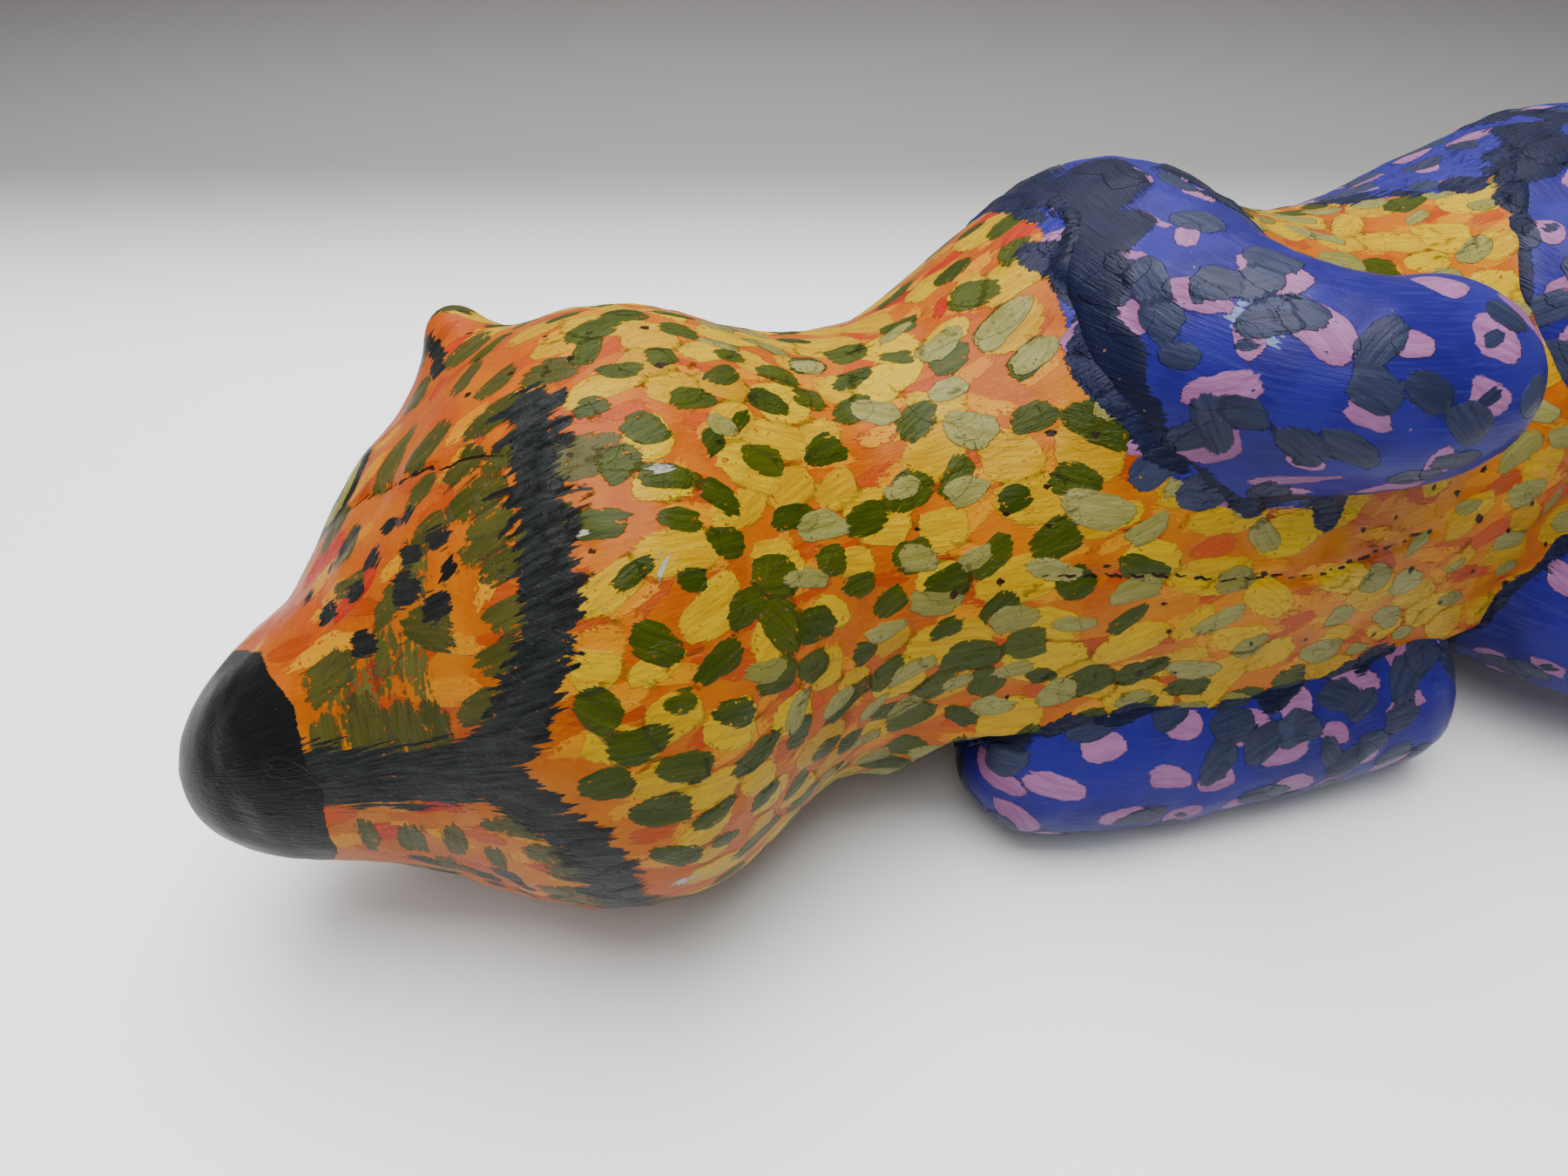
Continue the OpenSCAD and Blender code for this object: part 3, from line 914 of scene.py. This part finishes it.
MARKS = (
    ("haunch", cool(50, 42, 150), cool(62, 58, 176), 2.4, 0.2),
    ("mauve", cool(172, 112, 166), cool(204, 144, 198), 0.9, 0.15, 0.3),
    ("slate", cool(52, 58, 88), cool(78, 84, 116), 1.0, 0.15, 0.35),
    ("rim", cool(24, 29, 56), cool(42, 48, 90), 2.4, 0.3),
    # Dark navy joint paint on the trunk, partly a painted crease shadow
    ("seam", cool(22, 26, 50), cool(40, 46, 84), 2.2, 0.2),
    ("crack", warm(30, 20, 14), warm(60, 38, 22), 0.5),
    ("worm", warm(40, 28, 20), warm(80, 56, 36), 0.8),
    ("chip", cool(214, 208, 190), cool(232, 228, 216), 3.0, 0.3),
    ("spots", cool(30, 32, 32), cool(52, 54, 50), 2.4, 0.3),
    ("tuft", cool(22, 24, 25), cool(54, 58, 57), 1.2, 0.2),
    ("black", cool(22, 24, 25), cool(64, 68, 67), 6.5, 0.3, 0.25, 0.7),
    ("nose", cool(16, 18, 18), cool(36, 38, 35), 0.6, 0.05, 0.25),
    ("eye_rim", cool(22, 24, 24), cool(38, 40, 38), 1.2, 0.1),
    ("eye", warm(158, 150, 52), warm(204, 188, 92), 0.9, 0.15),
    ("pupil", cool(20, 22, 22), cool(36, 38, 38), 0.5, 0.0),
)
LEG_LAYERS = (
    ("lavender", cool(128, 146, 206), cool(170, 184, 236), 3.0, 0.6),
    ("mauve", cool(172, 112, 166), cool(204, 144, 198), 0.8, 0.1, 0.35),
    ("streak", cool(162, 108, 162), cool(196, 136, 190), 0.9, 0.2, 0.2),
    ("hole", cool(44, 50, 84), cool(70, 76, 110), 1.0, 0.2),
    ("slate", cool(52, 58, 88), cool(78, 84, 116), 0.9, 0.12, 0.4),
    # Dark navy joint paint on the legs, partly a painted crease shadow
    ("seam", cool(22, 26, 50), cool(38, 44, 82), 2.4, 0.15),
)


def body_coats(name):
    """The orange ground with its dabs, as on the trunk and the tail, lowest layer first."""
    coats = Coats(name)
    tones = warm(204, 98, 16), warm(222, 122, 18), warm(228, 122, 34)
    coats.ground(*tones, warm(230, 152, 18), warm(216, 102, 60))
    coats.lay(DABS)
    return coats


def body_paint():
    coats = body_coats("body_paint")
    coats.lay(MARKS)
    return coats.done()


def tail_paint():
    return body_coats("tail_paint").done()


def leg_paint():
    coats = Coats("leg_paint", 0.32)
    coats.ground(cool(44, 36, 138), cool(54, 48, 162), cool(62, 62, 156))
    coats.lay(LEG_LAYERS)
    return coats.done()


def filler_paint():
    shade = Shade("filler_paint", 0.48, 0.2)
    here = shade.place()
    patches = shade.noise(here, 110, 3, 0.6)
    hairs = shade.noise(shade.scaled(here, (0.4, 1, 1)), 520, 3, 0.6)
    colour = shade.mix(shade.ramp(hairs, 0.35, 0.65), cool(22, 27, 44), cool(42, 50, 84))
    colour = shade.mix(shade.ramp(patches, 0.56, 0.62), colour, cool(34, 46, 120))
    gold = shade.noise(here, 150, 2, 0.5)
    colour = shade.mix(shade.ramp(gold, 0.71, 0.73), colour, warm(120, 118, 44))
    return shade.finish(colour, shade.add(hairs, patches), 0.6)


def bare_wood():
    shade = Shade("turned_wood", 0.6)
    here = shade.place()
    grain = shade.noise(shade.scaled(here, (0.12, 1, 1)), 900, 3, 0.6)
    pores = shade.noise(shade.scaled(here, (0.3, 1, 1)), 2600, 1, 0.5)
    colour = shade.mix(grain, warm(178, 136, 88), warm(214, 178, 128))
    colour = shade.mix(shade.ramp(pores, 0.66, 0.72, 0, 0.6), colour, warm(120, 84, 52))
    return shade.finish(colour, grain, 0.3)


def nail_steel():
    shade = Shade("nail_steel", 0.42)
    shade.shader.inputs["Metallic"].default_value = 0.9
    rust = shade.noise(shade.place(), 900, 3, 0.6)
    colour = shade.mix(shade.ramp(rust, 0.5, 0.66), warm(150, 152, 156), warm(104, 74, 54))
    return shade.finish(colour, rust, 0.2)


# ---------------- filler


FILLET_R = 7.5 * MM


def bead(node, leg, trunk, material):
    """A bead of filler in place of its CAD node, hollowed between the leg and the trunk."""
    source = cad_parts[node]
    thing = add_object(node + "_bead", source.data.copy())
    remesh = thing.modifiers.new("even", "REMESH")
    remesh.mode = "VOXEL"
    remesh.voxel_size = 0.9 * MM
    graph = bpy.context.evaluated_depsgraph_get()
    final = bpy.data.meshes.new_from_object(thing.evaluated_get(graph))
    thing.modifiers.clear()
    thing.data = final
    points = mesh_points(final)
    lumps = 1 + 0.25 * waves(points, 18, 61)
    for _ in range(8):
        over_leg, out_of_leg = leg.above(points, True)
        over_trunk = trunk.above(points)
        out_of_trunk = unit((points - spine_at(points[:, 0])) * (0.1, 1, 1))
        from_middle = np.hypot(np.maximum(FILLET_R - over_leg, 0), np.maximum(FILLET_R - over_trunk, 0))
        spare = np.maximum(FILLET_R * lumps - from_middle, 0)
        points = points - unit(out_of_leg + out_of_trunk + 1e-6) * (spare * 0.6)[:, None]
    final.vertices.foreach_set("co", points.ravel())
    smooth = thing.modifiers.new("soft", "SMOOTH")
    smooth.factor = 0.5
    smooth.iterations = 5
    final.polygons.foreach_set("use_smooth", np.ones(len(final.polygons), bool))
    final.materials.clear()
    final.materials.append(material)
    final.update()
    return thing


# ---------------- building


def dress(thing, material, body, slot, *nodes):
    """Gives a new piece its material and its body, and hides the CAD nodes it stands for. slot is not
    used.
    """
    if not thing.data.materials:
        thing.data.materials.append(material)
    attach(thing, body)
    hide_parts(*nodes)


trunk = Trunk()
limbs = {name: Limb(name) for name in LIMBS}
paint_trunk(trunk, limbs)
carve_trunk(trunk, limbs)
rump_points = trunk.points[-RUMP_ROWS:].reshape(-1, 3)
rump_faces = [
    (row + j, row + (j + 1) % TRUNK_COLUMNS, row + (j + 1) % TRUNK_COLUMNS + TRUNK_COLUMNS,
     row + j + TRUNK_COLUMNS)
    for row in range(0, (RUMP_ROWS - 1) * TRUNK_COLUMNS, TRUNK_COLUMNS)
    for j in range(TRUNK_COLUMNS)
]
rump_tree = BVHTree.FromPolygons(rump_points.tolist(), rump_faces)


def socket_rings(trunk):
    """Ends the trunk at the peg's hole, and gives the rings that line the hole."""
    reach = np.linalg.norm(trunk.points[..., 1:] - PEG_AXIS, axis=-1)
    inside = (reach.min(1) < SOCKET_R + 0.6 * MM) & (trunk.along[:, 0] > 500)
    last = int(np.argmax(inside))
    for name in ("points", "along", "angle", "column_step"):
        setattr(trunk, name, getattr(trunk, name)[:last])
    for table in (trunk.layers, trunk.places, trunk.tints):
        for name in table:
            table[name] = table[name][:last]
    out = unit(trunk.points[-1][:, 1:] - PEG_AXIS)
    face = trunk.points[-1][:, 0].mean()
    rings = []
    edge = [(face - 0.2 * MM, SOCKET_R + 0.3 * MM), (face - 0.8 * MM, SOCKET_R)]
    for x, radius in edge + [(SOCKET_END, SOCKET_R), (SOCKET_END, SOCKET_R / 2)]:
        ring = np.zeros((TRUNK_COLUMNS, 3))
        ring[:, 0] = x
        ring[:, 1:] = PEG_AXIS + out * radius
        rings.append(ring)
    return np.array(rings)


rings = socket_rings(trunk)
dress(trunk.mesh("carved_trunk", rings), body_paint(), "trunk", "body_paint", "head_and_trunk")
blue = leg_paint()
for number, name in enumerate(JOINTS):
    leg = limbs[name]
    paint_leg(leg, trunk, 100 + 10 * number, JOINTS[name][1])
    dress(leg.mesh("carved_" + name), blue, "trunk", "limb_paint", name)
tail = limbs["tail"]
paint_tail(tail)
tail_bare = cope_tail(tail, rump_tree)
dress(tail.mesh("carved_tail", extra=tail_bare), tail_paint(), "tail", "body_paint", "tail")
navy = filler_paint()
for node in [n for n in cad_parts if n.endswith("_filler")]:
    leg = limbs[node.replace("_filler", "_leg")]
    dress(bead(node, leg, trunk, navy), navy, "trunk", "filler_paint", node)

wood, steel = bare_wood(), nail_steel()
for name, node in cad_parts.items():
    if name.endswith("_dowel") or name in ("tail_peg", "nail_plugs"):
        kept = wood
    elif name.endswith("_nails"):
        kept = steel
    else:
        continue
    node.material_slots[0].link = "OBJECT"
    node.material_slots[0].material = kept

# ---------------- floor, light and camera


CAMERA_AT = Vector((-0.2709, -0.2557, 0.2995))
CAMERA_TURN = math.radians(21.5)
CAMERA_DIP = math.radians(40.5)
SENSOR, LENS = 36.0, 27.5


def stage():
    """A pale floor that turns greyer behind the figure, a painted shade for the light falling off towards
    the back.
    """
    place = (0, 0, -0.6 * MM)
    bpy.ops.mesh.primitive_grid_add(size=12, x_subdivisions=8, y_subdivisions=8, location=place)
    floor = bpy.context.object
    floor.name = "floor"
    shade = Shade("floor", 0.7)
    here = shade.place()
    behind = (math.sin(CAMERA_TURN), math.cos(CAMERA_TURN), 0)
    product = shade.put("ShaderNodeVectorMath", {0: here, 1: behind}, operation="DOT_PRODUCT")
    depth = product.outputs["Value"]
    # Painted shade: the floor goes grey, then darker grey, with depth behind the figure, in place of the
    # lamps' falloff
    colour = shade.mix(shade.ramp(depth, 0.16, 0.46), (0.84, 0.86, 0.865, 1), (0.21, 0.207, 0.204, 1))
    colour = shade.mix(shade.ramp(depth, 0.4, 1.0), colour, (0.15, 0.142, 0.137, 1))
    cloudy = shade.noise(here, 2.2, 3, 0.5)
    floor.data.materials.append(shade.finish(colour, cloudy, 0.02))


LAMP_COLOUR = (1.0, 0.99, 0.97)


def lamp(name, place, target, size, power):
    data = bpy.data.lights.new(name, "AREA")
    data.shape = "RECTANGLE"
    data.size, data.size_y = size
    data.energy = power
    data.color = LAMP_COLOUR
    light = add_object(name, data)
    light.location = place
    light.rotation_euler = (Vector(target) - Vector(place)).to_track_quat("-Z", "Y").to_euler()


def lights():
    lamp("sky_panel", (-0.2, 0.05, 1.05), (-0.1, 0, 0), (1.1, 0.9), 33)
    lamp("back_panel", (0.2, 0.9, 0.9), (0, 0, 0.05), (1.2, 0.5), 4)
    lamp("front_fill", (-0.6, -0.7, 1.2), (0, 0, 0.06), (0.5, 0.5), 4)
    world = bpy.data.worlds.new("room")
    world.use_nodes = True
    world.node_tree.nodes["Background"].inputs[0].default_value = (0.93, 0.95, 1.0, 1)
    world.node_tree.nodes["Background"].inputs[1].default_value = 0.33
    bpy.context.scene.world = world


def camera():
    data = bpy.data.cameras.new("photo_view")
    data.sensor_width = SENSOR
    data.lens = LENS
    data.clip_start = 0.01
    view = add_object("photo_view", data)
    flat = math.cos(CAMERA_DIP)
    ahead = Vector((math.sin(CAMERA_TURN) * flat, math.cos(CAMERA_TURN) * flat, -math.sin(CAMERA_DIP)))
    view.location = CAMERA_AT
    view.rotation_euler = ahead.to_track_quat("-Z", "Y").to_euler()
    bpy.context.scene.camera = view


stage()
lights()
camera()
